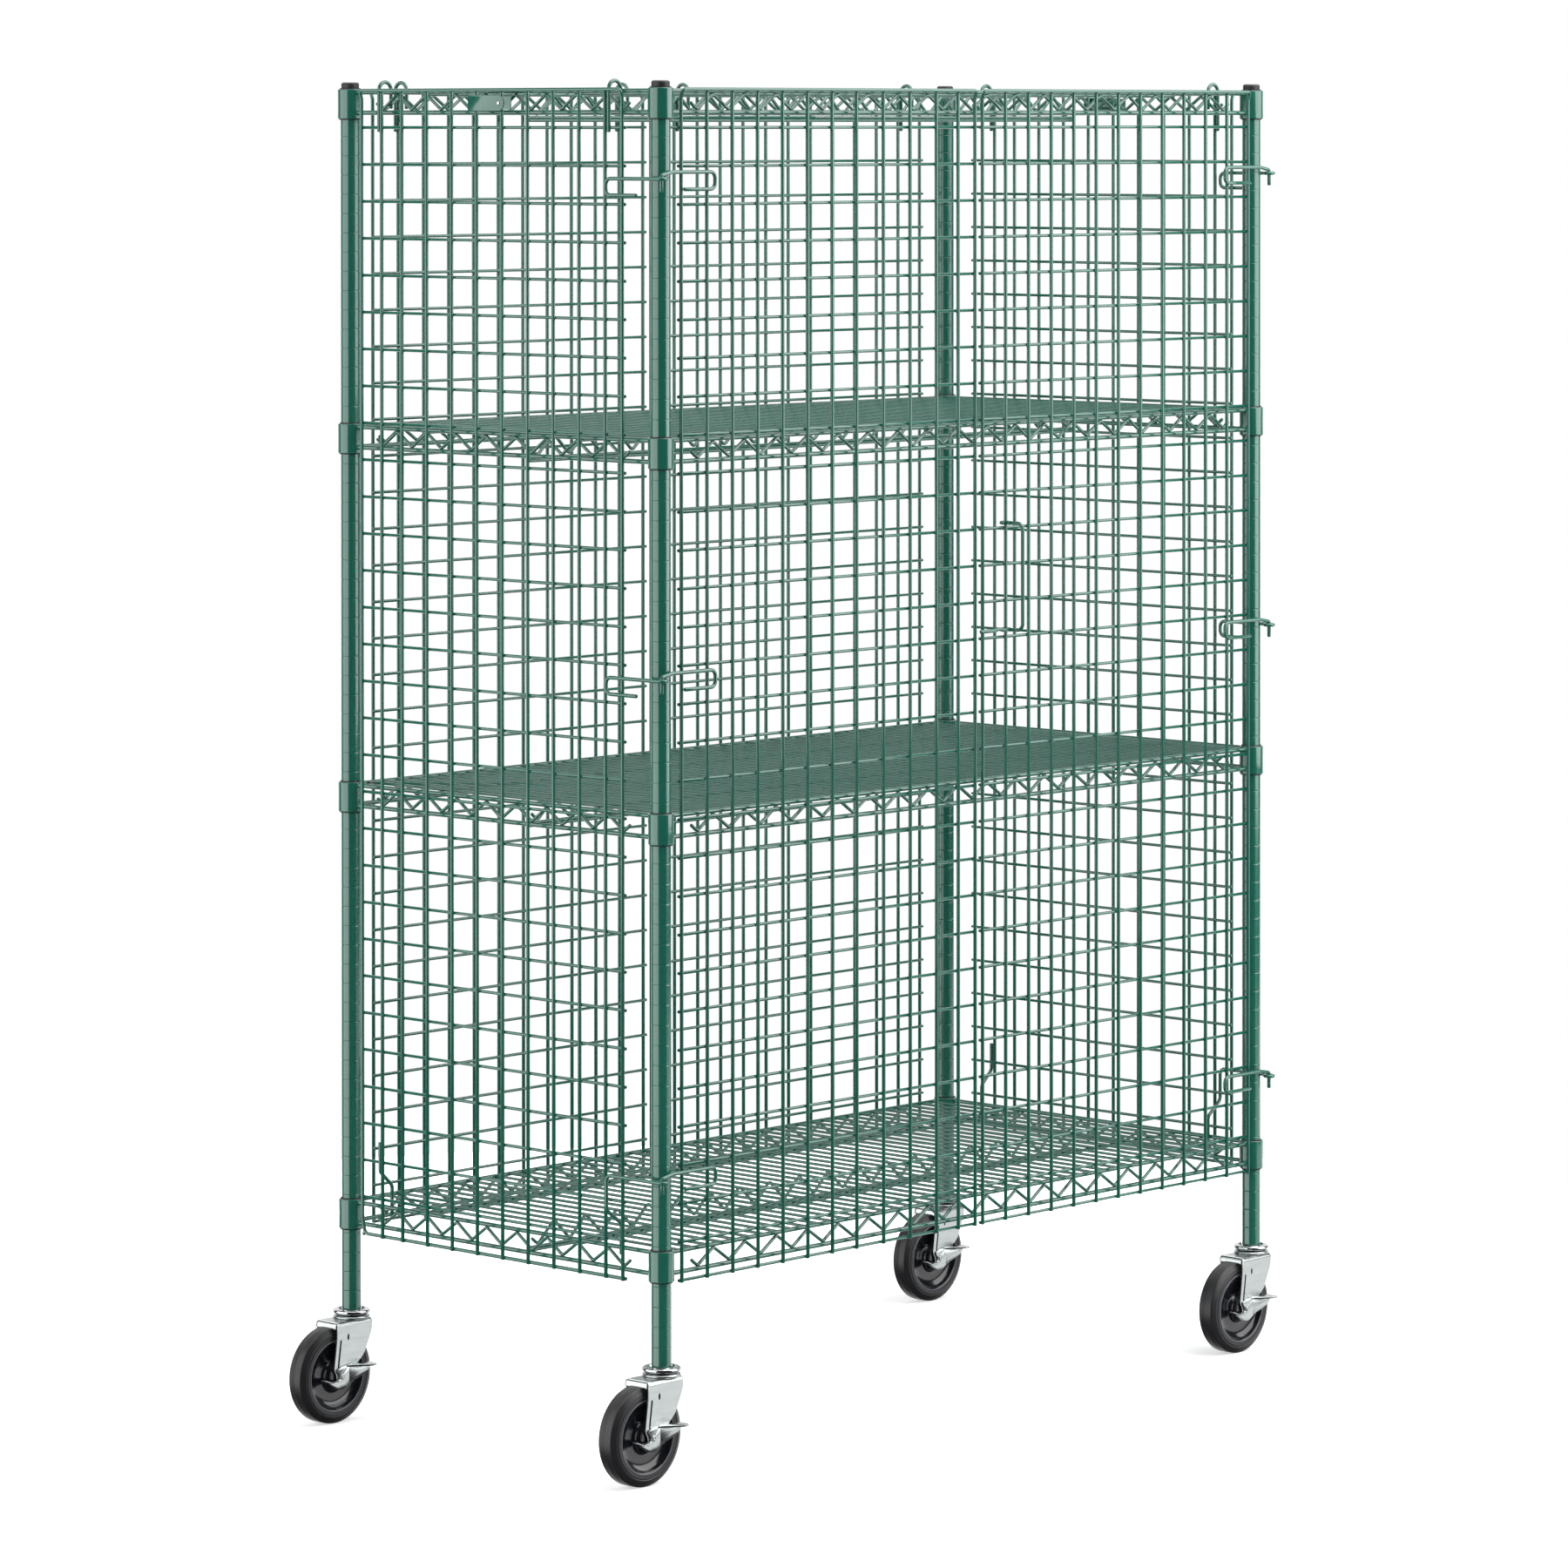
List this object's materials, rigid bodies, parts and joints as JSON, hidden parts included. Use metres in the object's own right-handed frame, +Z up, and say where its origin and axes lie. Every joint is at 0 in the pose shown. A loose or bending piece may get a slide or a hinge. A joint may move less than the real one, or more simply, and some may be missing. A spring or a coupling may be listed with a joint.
{
  "type": "mobile security cage",
  "caption": "Tall wire shelving cage on braked swivel casters, with open wire shelves, mesh side and back panels and hinged mesh doors that close with a turning latch handle.",
  "frame": {"origin": "on the floor under the middle of the whole outline", "axes": "+Z up, +X to the right seen from the door side, doors toward -Y"},
  "size_m": [1.3094, 0.643, 1.7672],
  "materials": {
    "epoxy_green": "smooth dark green epoxy coating, satin",
    "cap_black": "moulded black plastic",
    "sleeve_black": "moulded black plastic",
    "bright_zinc": "bright zinc plate on pressed steel",
    "swivel_chrome": "bright chrome plate",
    "tread_grey": "dark grey rubber tread on a dark core"
  },
  "bodies": {
    "cage_frame": {"post_front_left": "epoxy_green", "post_cap_front_left": "cap_black", "sleeve_bottom_front_left": "sleeve_black", "sleeve_lower_front_left": "sleeve_black", "sleeve_upper_front_left": "sleeve_black", "sleeve_top_front_left": "sleeve_black", "caster_stem_front_left": "swivel_chrome", "post_front_right": "epoxy_green", "post_cap_front_right": "cap_black", "sleeve_bottom_front_right": "sleeve_black", "sleeve_lower_front_right": "sleeve_black", "sleeve_upper_front_right": "sleeve_black", "sleeve_top_front_right": "sleeve_black", "caster_stem_front_right": "swivel_chrome", "post_rear_left": "epoxy_green", "post_cap_rear_left": "cap_black", "sleeve_bottom_rear_left": "sleeve_black", "sleeve_lower_rear_left": "sleeve_black", "sleeve_upper_rear_left": "sleeve_black", "sleeve_top_rear_left": "sleeve_black", "caster_stem_rear_left": "swivel_chrome", "post_rear_right": "epoxy_green", "post_cap_rear_right": "cap_black", "sleeve_bottom_rear_right": "sleeve_black", "sleeve_lower_rear_right": "sleeve_black", "sleeve_upper_rear_right": "sleeve_black", "sleeve_top_rear_right": "sleeve_black", "caster_stem_rear_right": "swivel_chrome", "shelf_bottom": "epoxy_green", "shelf_lower": "epoxy_green", "shelf_upper": "epoxy_green", "shelf_top": "epoxy_green", "side_panel_left": "epoxy_green", "side_panel_right": "epoxy_green", "back_panel_left": "epoxy_green", "back_panel_right": "epoxy_green", "tag_plate_left": "epoxy_green", "tag_plate_right": "epoxy_green"},
    "door_leaf_left": {"door_left": "epoxy_green"},
    "door_leaf_right": {"door_right": "epoxy_green"},
    "latch": {"latch_handle": "epoxy_green"},
    "caster_front_left": {"caster_fork_front_left": "bright_zinc", "axle_bolt_front_left": "bright_zinc"},
    "caster_wheel_front_left": {"wheel_front_left": "tread_grey"},
    "caster_brake_front_left": {"brake_lever_front_left": "bright_zinc"},
    "caster_front_right": {"caster_fork_front_right": "bright_zinc", "axle_bolt_front_right": "bright_zinc"},
    "caster_wheel_front_right": {"wheel_front_right": "tread_grey"},
    "caster_brake_front_right": {"brake_lever_front_right": "bright_zinc"},
    "caster_rear_left": {"caster_fork_rear_left": "bright_zinc", "axle_bolt_rear_left": "bright_zinc"},
    "caster_wheel_rear_left": {"wheel_rear_left": "tread_grey"},
    "caster_brake_rear_left": {"brake_lever_rear_left": "bright_zinc"},
    "caster_rear_right": {"caster_fork_rear_right": "bright_zinc", "axle_bolt_rear_right": "bright_zinc"},
    "caster_wheel_rear_right": {"wheel_rear_right": "tread_grey"},
    "caster_brake_rear_right": {"brake_lever_rear_right": "bright_zinc"}
  },
  "joints": [
    {"name": "door_left_hinge", "type": "hinge", "parent": "cage_frame", "child": "door_leaf_left", "pos_m": [-0.56919, -0.29404, 1], "axis": [0, 0, -1], "range_deg": [0, 240]},
    {"name": "door_right_hinge", "type": "hinge", "parent": "cage_frame", "child": "door_leaf_right", "pos_m": [0.64584, -0.29404, 1], "axis": [0, 0, 1], "range_deg": [0, 240]},
    {"name": "latch_turn", "type": "hinge", "parent": "door_leaf_right", "child": "latch", "pos_m": [0.09245, -0.28929, 1.108], "axis": [0, 0, 1], "range_deg": [0, 75]},
    {"name": "swivel_front_left", "type": "hinge", "parent": "cage_frame", "child": "caster_front_left", "pos_m": [-0.55218, -0.27604, 0.13], "axis": [0, 0, 1], "continuous": true},
    {"name": "wheel_spin_front_left", "type": "hinge", "parent": "caster_front_left", "child": "caster_wheel_front_left", "pos_m": [-0.59118, -0.27604, 0.0635], "axis": [0, 1, 0], "continuous": true},
    {"name": "brake_front_left", "type": "hinge", "parent": "caster_front_left", "child": "caster_brake_front_left", "pos_m": [-0.59118, -0.27604, 0.0635], "axis": [0, 1, 0], "range_deg": [0, 12]},
    {"name": "swivel_front_right", "type": "hinge", "parent": "cage_frame", "child": "caster_front_right", "pos_m": [0.62882, -0.27604, 0.13], "axis": [0, 0, 1], "continuous": true},
    {"name": "wheel_spin_front_right", "type": "hinge", "parent": "caster_front_right", "child": "caster_wheel_front_right", "pos_m": [0.58982, -0.27604, 0.0635], "axis": [0, 1, 0], "continuous": true},
    {"name": "brake_front_right", "type": "hinge", "parent": "caster_front_right", "child": "caster_brake_front_right", "pos_m": [0.58982, -0.27604, 0.0635], "axis": [0, 1, 0], "range_deg": [0, 12]},
    {"name": "swivel_rear_left", "type": "hinge", "parent": "cage_frame", "child": "caster_rear_left", "pos_m": [-0.55218, 0.29546, 0.13], "axis": [0, 0, 1], "continuous": true},
    {"name": "wheel_spin_rear_left", "type": "hinge", "parent": "caster_rear_left", "child": "caster_wheel_rear_left", "pos_m": [-0.59118, 0.29546, 0.0635], "axis": [0, 1, 0], "continuous": true},
    {"name": "brake_rear_left", "type": "hinge", "parent": "caster_rear_left", "child": "caster_brake_rear_left", "pos_m": [-0.59118, 0.29546, 0.0635], "axis": [0, 1, 0], "range_deg": [0, 12]},
    {"name": "swivel_rear_right", "type": "hinge", "parent": "cage_frame", "child": "caster_rear_right", "pos_m": [0.62882, 0.29546, 0.13], "axis": [0, 0, 1], "continuous": true},
    {"name": "wheel_spin_rear_right", "type": "hinge", "parent": "caster_rear_right", "child": "caster_wheel_rear_right", "pos_m": [0.58982, 0.29546, 0.0635], "axis": [0, 1, 0], "continuous": true},
    {"name": "brake_rear_right", "type": "hinge", "parent": "caster_rear_right", "child": "caster_brake_rear_right", "pos_m": [0.58982, 0.29546, 0.0635], "axis": [0, 1, 0], "range_deg": [0, 12]}
  ]
}
